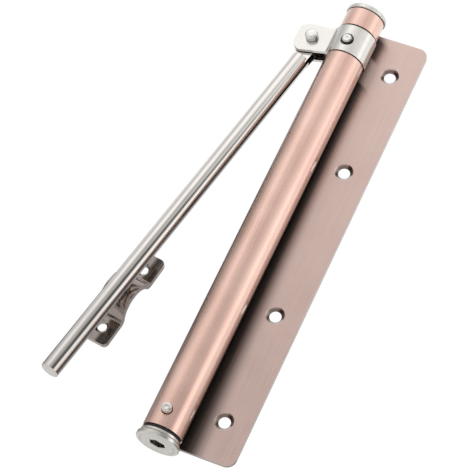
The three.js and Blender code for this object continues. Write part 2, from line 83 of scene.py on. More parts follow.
def soft_lamp(place, width, height, power):
    """A broad flat lamp at a place, turned to face the middle of the closer."""
    bpy.ops.object.light_add(type="AREA", location=place)
    lamp = bpy.context.object
    lamp.rotation_euler = (Vector((0, 0, 0)) - Vector(place)).to_track_quat("-Z", "Y").to_euler()
    lamp.data.shape = "RECTANGLE"
    lamp.data.size = width
    lamp.data.size_y = height
    lamp.data.energy = power


soft_lamp((-1.1, -1.3, 1.2), width=0.9, height=1.4, power=0.6)
soft_lamp((1.6, -0.4, 0.9), width=0.6, height=1.4, power=1)
colour_a, colour_b, colour_out = 6, 7, 2    # a mix node's sockets for colours


def join_nodes(tree, start, end):
    """Links an output socket to an input socket."""
    tree.links.new(start, end)


def ramp_node(tree, stops):
    """A colour ramp with grey stops given as (heading in degrees, brightness)."""
    ramp = tree.nodes.new("ShaderNodeValToRGB")
    ramp.color_ramp.interpolation = "EASE"
    while len(ramp.color_ramp.elements) < len(stops):
        ramp.color_ramp.elements.new(0.5)
    for element, (heading, level) in zip(ramp.color_ramp.elements, stops):
        element.position = heading / 360 + 0.5
        element.color = (level, level, level, 1)
    return ramp


# The surround that the metal mirrors: brightness by compass heading, for a low, a middle and a
# high band. Each band fades in over the one below it between two heights, from 0 at the horizon
# to 1 overhead. The camera itself sees plain white.
low_band = [(-180, 0.25), (-140, 0.3), (-100, 0.5), (-60, 0.8), (0, 0.6), (22, 0.25), (36, 0.08),
            (46, 0.14), (60, 1), (80, 1), (95, 0.35), (107, 0.12), (125, 0.12), (147, 0.3), (160, 0.6),
            (180, 0.25)]
middle_band = [(-180, 0.2), (-125, 0.05), (-92, 0.2), (-69, 0.43), (-50, 0.62), (-32, 0.9), (-20, 0.84),
               (-3, 0.5), (10, 0.6), (29, 0.95), (52, 1.1), (70, 1.1), (90, 1.1), (108, 1.4), (150, 1.6),
               (170, 0.6), (180, 0.2)]
high_band = [(-180, 0.8), (-108, 0.9), (-82, 0.65), (-55, 0.95), (-27, 1.2), (-5, 1.1), (20, 0.8),
             (60, 0.9), (120, 0.9), (180, 0.8)]
surround_strength = 1.2
world = bpy.data.worlds.new("white_sweep")
world.use_nodes = True
bpy.context.scene.world = world
sky = world.node_tree
sky.nodes.clear()
direction = sky.nodes.new("ShaderNodeTexCoord")
axes = sky.nodes.new("ShaderNodeSeparateXYZ")
join_nodes(sky, direction.outputs["Generated"], axes.inputs[0])
front = sky.nodes.new("ShaderNodeMath")
front.operation = "MULTIPLY"
front.inputs[1].default_value = -1
join_nodes(sky, axes.outputs["Y"], front.inputs[0])
heading = sky.nodes.new("ShaderNodeMath")
heading.operation = "ARCTAN2"
join_nodes(sky, axes.outputs["X"], heading.inputs[0])
join_nodes(sky, front.outputs[0], heading.inputs[1])
turn = sky.nodes.new("ShaderNodeMapRange")
turn.inputs["From Min"].default_value = -math.pi
turn.inputs["From Max"].default_value = math.pi
join_nodes(sky, heading.outputs[0], turn.inputs["Value"])
low_ramp = ramp_node(sky, low_band)
join_nodes(sky, turn.outputs[0], low_ramp.inputs[0])
blended = low_ramp.outputs[0]
for band, bottom, top in ((middle_band, 0.3, 0.4), (high_band, 0.43, 0.52)):
    ramp = ramp_node(sky, band)
    join_nodes(sky, turn.outputs[0], ramp.inputs[0])
    rise = sky.nodes.new("ShaderNodeMapRange")
    rise.interpolation_type = "SMOOTHSTEP"
    rise.inputs["From Min"].default_value = bottom
    rise.inputs["From Max"].default_value = top
    join_nodes(sky, axes.outputs["Z"], rise.inputs["Value"])
    bands = sky.nodes.new("ShaderNodeMix")
    bands.data_type = "RGBA"
    join_nodes(sky, rise.outputs[0], bands.inputs["Factor"])
    join_nodes(sky, blended, bands.inputs[colour_a])
    join_nodes(sky, ramp.outputs[0], bands.inputs[colour_b])
    blended = bands.outputs[colour_out]
surround = sky.nodes.new("ShaderNodeBackground")
surround.inputs["Strength"].default_value = surround_strength
join_nodes(sky, blended, surround.inputs["Color"])
backdrop = sky.nodes.new("ShaderNodeBackground")
backdrop.inputs["Color"].default_value = (1, 1, 1, 1)
seen = sky.nodes.new("ShaderNodeLightPath")
choice = sky.nodes.new("ShaderNodeMixShader")
join_nodes(sky, seen.outputs["Is Camera Ray"], choice.inputs[0])
join_nodes(sky, surround.outputs[0], choice.inputs[1])
join_nodes(sky, backdrop.outputs[0], choice.inputs[2])
sky_out = sky.nodes.new("ShaderNodeOutputWorld")
join_nodes(sky, choice.outputs[0], sky_out.inputs["Surface"])


# ---- Mounting plate ---------------------------------------------------------------------------
# A blanked steel plate, 2 mm thick, copper plated, brushed lengthways and lacquered. Countersunk
# holes in one row beside the barrel take the screws that hold the closer to the door frame.
MM = 0.001
plate_low, plate_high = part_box("mounting_plate")
plate_thick = plate_high.y - plate_low.y
plate_corner = 5 * MM
plate_edge_round = 0.25 * MM
hole_heights = [104 * MM, 43.3 * MM, -43.3 * MM, -104 * MM]
hole_radius = 3 * MM
sink_radius = 4.75 * MM
sharp_angle = math.radians(32)             # edges sharper than this stay crisp when shaded


def pick(kind, test):
    """Selects the vertices, edges or faces in edit mode that pass a test on their places."""
    bpy.ops.mesh.select_mode(type=kind)
    bpy.ops.mesh.select_all(action="DESELECT")
    mesh = bmesh.from_edit_mesh(bpy.context.object.data)
    for vertex in mesh.verts if kind == "VERT" else []:
        vertex.select_set(test(vertex.co))
    for edge in mesh.edges if kind == "EDGE" else []:
        edge.select_set(test(edge.verts[0].co, edge.verts[1].co))
    for face in mesh.faces if kind == "FACE" else []:
        face.select_set(test(face.calc_center_median(), face.normal))
    bmesh.update_edit_mesh(bpy.context.object.data)


def block(name, low, high):
    """A plain block between two corners, its place held in its mesh, ready to be shaped."""
    bpy.ops.object.select_all(action="DESELECT")
    low, high = Vector(low), Vector(high)
    bpy.ops.mesh.primitive_cube_add(size=1, location=(low + high) / 2, scale=high - low)
    shape = bpy.context.object
    shape.name = name
    bpy.ops.object.transform_apply(location=True, rotation=True, scale=True)
    return shape


def turned(name, profile, sides=96, hollow=False):
    """A shape turned about Z from (radius, height) points: a solid, or a ring if it is hollow."""
    radius, height = profile[0]
    bpy.ops.object.select_all(action="DESELECT")
    bpy.ops.mesh.primitive_circle_add(
        vertices=sides, radius=radius, location=(0, 0, height), fill_type="NOTHING" if hollow else "NGON",
    )
    shape = bpy.context.object
    shape.name = name
    bpy.ops.object.mode_set(mode="EDIT")
    bpy.ops.mesh.select_all(action="SELECT")
    points = profile[1:] + profile[:1] if hollow else profile[1:]
    for next_radius, next_height in points:
        bpy.ops.mesh.extrude_region_move(TRANSFORM_OT_translate={"value": (0, 0, next_height - height)})
        scale = next_radius / radius
        bpy.ops.transform.resize(value=(scale, scale, 1), center_override=(0, 0, next_height))
        radius, height = next_radius, next_height
    bpy.ops.mesh.select_all(action="SELECT")
    bpy.ops.mesh.remove_doubles(threshold=1e-7)
    bpy.ops.mesh.normals_make_consistent(inside=False)
    bpy.ops.object.mode_set(mode="OBJECT")
    bpy.ops.object.transform_apply(location=True, rotation=True, scale=True)
    return shape


def put(shape, matrix):
    """Moves a shape by a matrix and keeps the new place in its mesh."""
    bpy.ops.object.select_all(action="DESELECT")
    shape.select_set(True)
    bpy.context.view_layer.objects.active = shape
    shape.matrix_world = matrix
    bpy.ops.object.transform_apply(location=True, rotation=True, scale=True)
    return shape


def combine(shape, tool, how="DIFFERENCE"):
    """Cuts a tool out of a shape, or joins them, and throws the tool away."""
    bpy.ops.object.select_all(action="DESELECT")
    shape.select_set(True)
    bpy.context.view_layer.objects.active = shape
    step = shape.modifiers.new("combine", "BOOLEAN")
    step.operation = how
    step.solver = "EXACT"
    step.object = tool
    bpy.ops.object.modifier_apply(modifier=step.name)
    bpy.data.objects.remove(tool)


def round_edges(shape, width, angle=35):
    """Rounds every edge of a shape that is sharper than the angle."""
    bpy.ops.object.select_all(action="DESELECT")
    shape.select_set(True)
    bpy.context.view_layer.objects.active = shape
    step = shape.modifiers.new("rounding", "BEVEL")
    step.width = width
    step.segments = 3
    step.limit_method = "ANGLE"
    step.angle_limit = math.radians(angle)
    bpy.ops.object.modifier_apply(modifier=step.name)


def fit(shape, material, body, slot, *nodes):
    """Smooths and paints a finished piece, ties it to its body, and hides the frame parts it stands for.
    """
    bpy.ops.object.select_all(action="DESELECT")
    shape.select_set(True)
    bpy.context.view_layer.objects.active = shape
    bpy.ops.object.shade_smooth_by_angle(angle=sharp_angle)
    flat = shape.modifiers.new("flat_faces", "WEIGHTED_NORMAL")
    flat.weight = 100
    flat.keep_sharp = True
    bpy.ops.object.modifier_apply(modifier=flat.name)
    shape.data.materials.clear()
    shape.data.materials.append(material)
    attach(shape, body)
    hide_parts(*nodes)


ALONG_Y = Matrix.Rotation(math.radians(90), 4, "X")     # stands a turned shape's top towards -Y


def screw_hole_tool(middle, back, thick, shank, sink):
    """The drill and countersink for a flat-headed screw, with its mouth towards -Y."""
    depth = sink - shank
    over = 1 * MM
    tool = turned("drill", [
        (shank, -over), (shank, thick - depth), (sink, thick), (sink + over, thick + over),
    ], sides=64)
    return put(tool, Matrix.Translation((middle.x, back, middle.z)) @ ALONG_Y)


def noise_node(tree, place, scale, detail, roughness):
    """A cloudy pattern over a place, as many clouds a metre as its scale."""
    noise = tree.nodes.new("ShaderNodeTexNoise")
    noise.inputs["Scale"].default_value = scale
    noise.inputs["Detail"].default_value = detail
    noise.inputs["Roughness"].default_value = roughness
    join_nodes(tree, place, noise.inputs["Vector"])
    return noise


def plated_metal(name, pale, deep, rough, grain, bump):
    """Brushed and plated metal: grain is how many streaks a metre it has along each axis."""
    cloud_share = 0.45
    tone_low, tone_high = 0.36, 0.64
    sheen_low, sheen_high = 0.3, 0.7
    scratch_depth = 0.02 * MM
    material = bpy.data.materials.new(name)
    material.use_nodes = True
    tree = material.node_tree
    shader = tree.nodes["Principled BSDF"]
    shader.inputs["Metallic"].default_value = 1
    place = tree.nodes.new("ShaderNodeTexCoord")
    stretch = tree.nodes.new("ShaderNodeMapping")
    stretch.inputs["Scale"].default_value = grain
    join_nodes(tree, place.outputs["Object"], stretch.inputs["Vector"])
    streaks = noise_node(tree, stretch.outputs[0], scale=1, detail=6, roughness=0.62)
    clouds = noise_node(tree, place.outputs["Object"], scale=34, detail=3, roughness=0.5)
    blend = tree.nodes.new("ShaderNodeMix")
    blend.inputs["Factor"].default_value = cloud_share
    join_nodes(tree, streaks.outputs["Fac"], blend.inputs["A"])
    join_nodes(tree, clouds.outputs["Fac"], blend.inputs["B"])
    tone = tree.nodes.new("ShaderNodeValToRGB")
    tone.color_ramp.elements[0].position = tone_low
    tone.color_ramp.elements[0].color = (*deep, 1)
    tone.color_ramp.elements[1].position = tone_high
    tone.color_ramp.elements[1].color = (*pale, 1)
    join_nodes(tree, blend.outputs["Result"], tone.inputs[0])
    join_nodes(tree, tone.outputs[0], shader.inputs["Base Color"])
    sheen = tree.nodes.new("ShaderNodeMapRange")
    sheen.inputs["From Min"].default_value = sheen_low
    sheen.inputs["From Max"].default_value = sheen_high
    sheen.inputs["To Min"].default_value = rough[0]
    sheen.inputs["To Max"].default_value = rough[1]
    join_nodes(tree, blend.outputs["Result"], sheen.inputs["Value"])
    join_nodes(tree, sheen.outputs[0], shader.inputs["Roughness"])
    relief = tree.nodes.new("ShaderNodeBump")
    relief.inputs["Strength"].default_value = bump
    relief.inputs["Distance"].default_value = scratch_depth
    join_nodes(tree, streaks.outputs["Fac"], relief.inputs["Height"])
    join_nodes(tree, relief.outputs[0], shader.inputs["Normal"])
    return material


def paint_shade(material, across, start, end, colour):
    """Paints shade into a metal's base colour, darkening it from start to end along a line."""
    tree = material.node_tree
    shader = tree.nodes["Principled BSDF"]
    bright = shader.inputs["Base Color"].links[0].from_socket
    place = tree.nodes.new("ShaderNodeTexCoord")
    along = tree.nodes.new("ShaderNodeVectorMath")
    along.operation = "DOT_PRODUCT"
    along.inputs[1].default_value = across
    join_nodes(tree, place.outputs["Object"], along.inputs[0])
    shade_mask = tree.nodes.new("ShaderNodeMapRange")
    shade_mask.interpolation_type = "SMOOTHSTEP"
    shade_mask.inputs["From Min"].default_value = start
    shade_mask.inputs["From Max"].default_value = end
    join_nodes(tree, along.outputs["Value"], shade_mask.inputs["Value"])
    mix = tree.nodes.new("ShaderNodeMix")
    mix.data_type = "RGBA"
    join_nodes(tree, shade_mask.outputs[0], mix.inputs["Factor"])
    join_nodes(tree, bright, mix.inputs[colour_a])
    mix.inputs[colour_b].default_value = (*colour, 1)
    join_nodes(tree, mix.outputs[colour_out], shader.inputs["Base Color"])


def lacquered(material):
    """Puts a clear lacquer over a plated metal."""
    shader = material.node_tree.nodes["Principled BSDF"]
    shader.inputs["Coat Weight"].default_value = 1
    shader.inputs["Coat IOR"].default_value = 1.6
    shader.inputs["Coat Roughness"].default_value = 0.15


lengthways_grain = (1500, 1500, 22)
plate_copper = plated_metal(
    "brushed_copper_plate", (0.60, 0.44, 0.39), (0.51, 0.36, 0.315), (0.24, 0.36), lengthways_grain, 0.25,
)
# Painted shade: the edges, the walls of the holes and the back are darkened as if in shade.
paint_shade(plate_copper, (0, 1, 0), -1.9 * MM, -1.2 * MM, (0.16, 0.11, 0.095))
# Painted shade and painted reflection: the strip beside the barrel is darkened like the shadowed gap and
# the barrel's dark back mirrored in the plate.
paint_shade(plate_copper, (1, 0, 0.03), -3.5 * MM, -13 * MM, (0.05, 0.036, 0.03))
lacquered(plate_copper)
plate = block("plate", plate_low, plate_high)
bpy.ops.object.mode_set(mode="EDIT")
pick("EDGE", lambda a, b: abs(a.y - b.y) > plate_thick / 2)
bpy.ops.mesh.bevel(offset=plate_corner, segments=12, affect="EDGES")
bpy.ops.object.mode_set(mode="OBJECT")
for height in hole_heights:
    middle = Vector((0, 0, height))
    combine(plate, screw_hole_tool(middle, plate_high.y, plate_thick, hole_radius, sink_radius))
round_edges(plate, plate_edge_round)
fit(plate, plate_copper, "closer_body", "copper_steel", "mounting_plate")


# ---- Spring barrel and upper tube -------------------------------------------------------------
# Two lengths of the same drawn steel tube, copper plated. The long one houses the torsion spring
# and the short one carries the top bearing; both are welded along the back to the plate.
barrel_low, barrel_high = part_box("spring_barrel")
barrel_radius = (barrel_high.x - barrel_low.x) / 2
barrel_axis = Vector(((barrel_low.x + barrel_high.x) / 2, (barrel_low.y + barrel_high.y) / 2, 0))
barrel_wall = 1.6 * MM
tube_lip = 0.3 * MM
on_axis = Matrix.Translation(barrel_axis)
lock_low, lock_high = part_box("lock_pin")
pin_radius = (lock_high.x - lock_low.x) / 2
pin_hole_radius = pin_radius + 0.3 * MM
pin_height = (lock_low.z + lock_high.z) / 2


def tube_length(name, bottom, top):
    """A length of the barrel tube with its ends faced off."""
    inside = barrel_radius - barrel_wall
    profile = [(inside, bottom), (barrel_radius, bottom), (barrel_radius, top), (inside, top)]
    return put(turned(name, profile, sides=128, hollow=True), on_axis)


barrel_copper = plated_metal(
    "drawn_copper_tube", (0.80, 0.54, 0.45), (0.66, 0.40, 0.325), (0.22, 0.32), (420, 420, 9), 0.2,
)
# Painted shade: the back of the tubes, which faces the plate, is darkened as if in the shade between tube
# and plate.
painted_shade_begins = barrel_axis.y + 2.6 * MM
painted_shade_full = barrel_axis.y + 4.6 * MM
paint_shade(barrel_copper, (0, 1, 0), painted_shade_begins, painted_shade_full, (0.03, 0.02, 0.016))
lacquered(barrel_copper)
barrel = tube_length("barrel", barrel_low.z, barrel_high.z)
pin_hole = turned("drill", [(pin_hole_radius, 0), (pin_hole_radius, 2 * barrel_radius)], sides=48)
put(pin_hole, Matrix.Translation((barrel_axis.x, barrel_axis.y, pin_height)) @ ALONG_Y)
combine(barrel, pin_hole)
round_edges(barrel, tube_lip)
fit(barrel, barrel_copper, "closer_body", "copper_steel", "spring_barrel")

upper_low, upper_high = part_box("upper_tube")
upper = tube_length("upper_barrel", upper_low.z, upper_high.z)
round_edges(upper, tube_lip)
fit(upper, barrel_copper, "closer_body", "copper_steel", "upper_tube")


# ---- Welds ------------------------------------------------------------------------------------
# Short beads laid between the back of each tube and the plate, plated over with the rest. Each
# one is a row of overlapping puddles, about a millimetre apart.
weld_plating = plated_metal(
    "plated_weld", (0.55, 0.36, 0.30), (0.36, 0.24, 0.20), (0.4, 0.55), (300, 300, 300), 0.6,
)
ripple_pitch = 0.9 * MM
end_width = 0.72                           # a bead's ends, as a share of its full width
ripple = [(0.15, 0.9), (0.5, 1), (1, 0.86)]  # shares of a puddle's length and of the full width
weld_nodes = ("barrel_weld_1", "barrel_weld_2", "barrel_weld_3", "upper_tube_weld")
for number, node in enumerate(weld_nodes, 1):
    low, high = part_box(node)
    size = high - low
    ripples = max(4, round(size.z / ripple_pitch))
    profile = [(end_width, low.z)]
    for step in range(ripples):
        base = low.z + size.z * step / ripples
        profile += [(width, base + share * size.z / ripples) for share, width in ripple]
    bead = turned("weld_bead_%d" % number, profile, sides=32)
    flatten = Matrix.Diagonal((size.x / 2, size.y / 2, 1, 1))
    put(bead, Matrix.Translation(((low.x + high.x) / 2, (low.y + high.y) / 2, 0)) @ flatten)
    fit(bead, weld_plating, "closer_body", "weld", node)


# ---- Top cap ----------------------------------------------------------------------------------
# A domed steel cap with a short shank, pressed into the top of the upper tube. Nickel plated,
# with a satin, faintly turned finish.
cap_low, cap_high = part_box("top_cap")
cap_radius = (cap_high.x - cap_low.x) / 2
shank_radius = barrel_radius - barrel_wall - 0.3 * MM
cap_seat = upper_high.z + 0.3 * MM
satin_nickel = plated_metal(
    "satin_nickel", (0.70, 0.68, 0.64), (0.56, 0.54, 0.50), (0.18, 0.28), (500, 500, 500), 0.04,
)
cap = turned("domed_cap", [
    (shank_radius - 0.4 * MM, cap_low.z),
    (shank_radius, cap_low.z + 0.4 * MM),
    (shank_radius, cap_seat),
    (cap_radius - 0.35 * MM, cap_seat),
    (cap_radius, cap_seat + 0.35 * MM),
    (cap_radius, cap_seat + 1.5 * MM),
    (cap_radius - 0.12 * MM, cap_seat + 1.95 * MM),
    (cap_radius - 0.5 * MM, cap_seat + 2.4 * MM),
    (cap_radius - 1.2 * MM, cap_seat + 2.78 * MM),
    (cap_radius - 2.4 * MM, cap_seat + 3.1 * MM),
    (cap_radius - 4.2 * MM, cap_seat + 3.33 * MM),
    (cap_radius - 6.4 * MM, cap_seat + 3.46 * MM),
    (cap_radius - 9 * MM, cap_high.z),
], sides=128)
put(cap, on_axis)
fit(cap, satin_nickel, "closer_body", "satin_nickel", "top_cap")


# ---- Drive core, bushes, spring and ring washer -----------------------------------------------
# What works inside the barrel: a steel core that the ring turns, nylon bushes that guide it, the
# spring that it winds, and a black nylon washer that fills the joint above the ring.
def kept(node, material):
    """Gives a piece of the frame that keeps its own shape a material."""
    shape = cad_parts[node]
    shape.data.materials.clear()
    shape.data.materials.append(material)


def moulded(name, pale, deep, rough):
    """Moulded plastic with a fine matt grain."""
    material = plated_metal(name, pale, deep, rough, (900, 900, 900), 0.25)
    material.node_tree.nodes["Principled BSDF"].inputs["Metallic"].default_value = 0
    return material


core_steel = plated_metal(
    "turned_core_steel", (0.40, 0.39, 0.38), (0.26, 0.25, 0.24), (0.3, 0.45), (300, 300, 2500), 0.2,
)
spring_steel = plated_metal(
    "oiled_spring_steel", (0.12, 0.12, 0.13), (0.06, 0.06, 0.07), (0.32, 0.5), (500, 500, 500), 0.2,
)
pale_nylon = moulded("pale_nylon", (0.72, 0.69, 0.61), (0.64, 0.61, 0.53), (0.45, 0.6))
black_nylon = moulded("black_nylon", (0.014, 0.013, 0.013), (0.006, 0.006, 0.006), (0.5, 0.65))
kept("drive_core", core_steel)
kept("torsion_spring", spring_steel)
kept("lower_bush", pale_nylon)
kept("upper_bush", pale_nylon)


def flat_ring(name, node, inner, edge):
    """A thin flat ring on the barrel's axis, as large as its node, with soft edges."""
    low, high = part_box(node)
    outer = (high.x - low.x) / 2
    shape = turned(name, [(inner, low.z), (outer, low.z), (outer, high.z), (inner, high.z)], hollow=True)
    put(shape, on_axis)
    round_edges(shape, edge)
    return shape


washer = flat_ring("ring_joint_washer", "ring_washer", inner=5.9 * MM, edge=0.15 * MM)
fit(washer, black_nylon, "closer_body", "black_nylon", "ring_washer")


# ---- Clevis ring ------------------------------------------------------------------------------
# One strip of steel bent round the core into a ring, its two ends brought out side by side as
# ears. The ears are cut round, and drilled for the rivet; the ring is drilled for the drive pin.
ring_low, ring_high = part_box("clevis_ring")
ring_top = ring_high.z
ring_bottom = 97.1 * MM
ring_radius = 10.8 * MM
ring_wall = 1.8 * MM
ear_top = 111.3 * MM
ear_bottom = ring_low.z
ear_end = -28.4 * MM
ear_corner = 5 * MM
ear_middle = 4.1 * MM                     # middle of each ear to the middle of the ring
ear_bend = 2.6 * MM                       # radius of the bend between an ear and the ring
rivet_reach = -20.2 * MM
rivet_height = 103.8 * MM
rivet_hole_radius = 2.6 * MM
drive_height = 104.2 * MM
drive_hole_radius = 3.5 * MM
drill_reach = 9 * MM                      # how far a drill goes each side of the middle
small_round = 0.3 * MM                    # rounding of the ring's and the rod's edges
ring_turn = math.radians(-5)
in_ring = on_axis @ Matrix.Rotation(ring_turn, 4, "Z")


def arc(centre, radius, start, end, steps=10):
    """Points (across, up) on an arc between two angles in degrees."""
    points = []
    for step in range(steps + 1):
        angle = math.radians(start + (end - start) * step / steps)
        points.append((centre[0] + radius * math.cos(angle), centre[1] + radius * math.sin(angle)))
    return points


def drawn(name, points, closed=True):
    """A line drawn from point to point on the XY plane, filled with one face if it is closed."""
    bpy.ops.object.select_all(action="DESELECT")
    bpy.ops.mesh.primitive_plane_add(size=1)
    shape = bpy.context.object
    shape.name = name
    bpy.ops.object.mode_set(mode="EDIT")
    bpy.ops.mesh.select_mode(type="VERT")
    bpy.ops.mesh.select_all(action="SELECT")
    bpy.ops.mesh.merge(type="CENTER")
    bpy.ops.transform.translate(value=(*points[0], 0))
    for before, after in zip(points, points[1:]):
        step = (after[0] - before[0], after[1] - before[1], 0)
        bpy.ops.mesh.extrude_vertices_move(TRANSFORM_OT_translate={"value": step})
    bpy.ops.mesh.select_all(action="SELECT")
    bpy.ops.mesh.remove_doubles(threshold=1e-7)
    if closed:
        bpy.ops.mesh.edge_face_add()
    bpy.ops.object.mode_set(mode="OBJECT")
    return shape


def pushed(shape, depth):
    """Pushes a drawn shape along Z and makes its faces point outwards."""
    bpy.ops.object.mode_set(mode="EDIT")
    bpy.ops.mesh.select_all(action="SELECT")
    bpy.ops.mesh.extrude_region_move(TRANSFORM_OT_translate={"value": (0, 0, depth)})
    bpy.ops.mesh.select_all(action="SELECT")
    bpy.ops.mesh.normals_make_consistent(inside=False)
    bpy.ops.object.mode_set(mode="OBJECT")
    return shape


def thickened(shape, wall):
    """Gives a bent sheet its wall, half of it on each side."""
    step = shape.modifiers.new("wall", "SOLIDIFY")
    step.thickness = wall
    step.offset = 0
    step.use_even_offset = True
    bpy.ops.object.modifier_apply(modifier=step.name)
    bpy.ops.object.mode_set(mode="EDIT")
    bpy.ops.mesh.select_all(action="SELECT")
    bpy.ops.mesh.normals_make_consistent(inside=False)
    bpy.ops.object.mode_set(mode="OBJECT")


def cross_drill(radius, x, z, reach):
    """A drill along Y through the point x, z."""
    tool = turned("drill", [(radius, -reach), (radius, reach)], sides=48)
    return put(tool, Matrix.Translation((x, 0, z)) @ ALONG_Y)


# The plan of the strip, along the middle of its wall.
mid_radius = ring_radius - ring_wall / 2
bend_height = ear_middle + ear_bend
bend_across = -math.sqrt((mid_radius + ear_bend) ** 2 - bend_height ** 2)
bend_turn = math.degrees(math.atan2(bend_height, -bend_across))
strip = [(ear_end, ear_middle)]
strip += arc((bend_across, bend_height), ear_bend, -90, -bend_turn, 8)
strip += arc((0, 0), mid_radius, 180 - bend_turn, bend_turn - 180, 96)[1:]
strip += arc((bend_across, -bend_height), ear_bend, bend_turn, 90, 8)[1:]
strip.append((ear_end, -ear_middle))
ring = drawn("clevis_strip", strip, closed=False)
pushed(ring, ring_top - ear_bottom)
thickened(ring, ring_wall)
put(ring, Matrix.Translation((0, 0, ear_bottom)))

# The strip as it is cut, seen from the front: its top edge curves down from the ring to the ears,
# and its bottom edge slopes down to them.
blank = [(2 * ring_radius, ring_bottom), (2 * ring_radius, ring_top), (-0.85 * ring_radius, ring_top)]
blank += [(-9.6 * MM, 112.75 * MM), (-10.2 * MM, 112.3 * MM), (-11.2 * MM, 111.8 * MM),
          (-12.6 * MM, 111.45 * MM), (-14.4 * MM, ear_top)]
blank += arc((ear_end + ear_corner, ear_top - ear_corner), ear_corner, 90, 180)
blank += arc((ear_end + ear_corner, ear_bottom + ear_corner), ear_corner, 180, 270)
blank += [(-12.4 * MM, 96.75 * MM), (-10.6 * MM, ring_bottom)]
stencil = pushed(drawn("stencil", blank), 4 * ring_radius)
put(stencil, Matrix.Translation((0, 2 * ring_radius, 0)) @ ALONG_Y)
combine(ring, stencil, "INTERSECT")
combine(ring, cross_drill(rivet_hole_radius, rivet_reach, rivet_height, drill_reach))
drive_hole = turned("drill", [(drive_hole_radius, 0), (drive_hole_radius, 2 * ring_radius)], sides=48)
combine(ring, put(drive_hole, Matrix.Translation((0, 0, drive_height)) @ ALONG_Y))
put(ring, in_ring)
round_edges(ring, small_round)
ring_nickel = plated_metal(
    "tumbled_nickel", (0.70, 0.68, 0.65), (0.62, 0.60, 0.56), (0.16, 0.25), (500, 500, 500), 0.03,
)
fit(ring, ring_nickel, "ring", "satin_nickel", "clevis_ring")


# ---- Drive pin, lock pin and ear rivet --------------------------------------------------------
# Plain dowels of hardened steel with chamfered ends, and a thick-headed rivet that holds the rod
# between the ears. The pins pull out; the rivet's far end is hammered over.
pin_steel = plated_metal(
    "ground_pin_steel", (0.70, 0.69, 0.67), (0.58, 0.57, 0.54), (0.14, 0.24), (500, 500, 500), 0.04,
)


def dowel(name, inner, outer):
    """A dowel that lies along the barrel's radius, with a dished mark from its parting tool."""
    return turned(name, [
        (pin_radius - 0.4 * MM, inner),
        (pin_radius, inner + 0.4 * MM),
        (pin_radius, outer - 0.55 * MM),
        (pin_radius - 0.12 * MM, outer - 0.25 * MM),
        (pin_radius - 0.4 * MM, outer - 0.06 * MM),
        (pin_radius - 0.75 * MM, outer),
        (0.7 * MM, outer),
        (0.45 * MM, outer - 0.08 * MM),
    ], sides=64)


drive_pin = dowel("drive_dowel", inner=3.5 * MM, outer=12.1 * MM)
put(drive_pin, in_ring @ Matrix.Translation((0, 0, drive_height)) @ ALONG_Y)
fit(drive_pin, pin_steel, "drive_pin_body", "pin_steel", "drive_pin")

lock_pin = dowel("lock_dowel", inner=barrel_axis.y - lock_high.y, outer=barrel_axis.y - lock_low.y)
put(lock_pin, Matrix.Translation((barrel_axis.x, barrel_axis.y, pin_height)) @ ALONG_Y)
fit(lock_pin, pin_steel, "lock_pin_body", "pin_steel", "lock_pin")

rivet_shank = 2.3 * MM
rivet_head = 3.3 * MM
rivet_seat = 5.3 * MM
rivet = turned("ear_rivet_pin", [
    (1.9 * MM, -6.7 * MM), (2.7 * MM, -6.6 * MM), (3.25 * MM, -6.3 * MM), (3.5 * MM, -5.8 * MM),
    (3.5 * MM, -rivet_seat), (rivet_shank, -rivet_seat), (rivet_shank, rivet_seat),
    (rivet_head, rivet_seat), (rivet_head, 7.3 * MM), (rivet_head - 0.12 * MM, 7.7 * MM),
    (rivet_head - 0.4 * MM, 7.96 * MM), (rivet_head - 0.9 * MM, 8.1 * MM), (0.8 * MM, 8.1 * MM),
], sides=64)
put(rivet, in_ring @ Matrix.Translation((rivet_reach, 0, rivet_height)) @ ALONG_Y)
fit(rivet, pin_steel, "ring", "pin_steel", "ear_rivet")


# ---- Arm rod ----------------------------------------------------------------------------------
# A round steel bar, bright nickel plated over its drawn surface. Its upper end is milled to a
# flat tongue with an eye, which the rivet holds between the ears; its lower end is cut square.
rod_radius = 4.7 * MM
rod_length = 225.5 * MM
rod_chamfer = 0.6 * MM
shoulder = 11.6 * MM                       # from the rivet down to where the round bar starts
tongue_half = 2.6 * MM
tongue_radius = 5.4 * MM
tongue_root = shoulder + 2 * MM            # the tongue's outline reaches a little into the bar
neck = 0.95 * rod_radius                   # half the width of the tongue below its eye
rod_turn = math.radians(10.55)
rod_lean = math.radians(3.1)               # play in the rivet, which lets the rod clear the bracket
in_rod = in_ring @ Matrix.Translation((rivet_reach, 0, rivet_height)) @ Matrix.Rotation(rod_turn, 4, "Y")
rod = turned("arm_bar", [
    (rod_radius - rod_chamfer, shoulder - rod_length),
    (rod_radius, shoulder - rod_length + rod_chamfer),
    (rod_radius, 0),
], sides=96)
put(rod, Matrix.Translation((0, 0, -shoulder)) @ Matrix.Rotation(-rod_lean, 4, "X"))
eye = [(-neck, -tongue_root), (neck, -tongue_root), (neck, -shoulder)]
eye += arc((0, 0), tongue_radius, 0, 180, 28)
eye += [(-neck, -shoulder)]
tongue = pushed(drawn("tongue", eye), 2 * tongue_half)
put(tongue, Matrix.Translation((0, tongue_half, 0)) @ ALONG_Y)
combine(rod, tongue, "UNION")
combine(rod, cross_drill(rivet_hole_radius, 0, 0, drill_reach))
round_edges(rod, small_round)
put(rod, in_rod)
bright_nickel = plated_metal(
    "bright_nickel", (0.68, 0.65, 0.62), (0.58, 0.55, 0.52), (0.05, 0.11), (1400, 1400, 60), 0.06,
)
fit(rod, bright_nickel, "arm", "bright_nickel", "arm_rod")


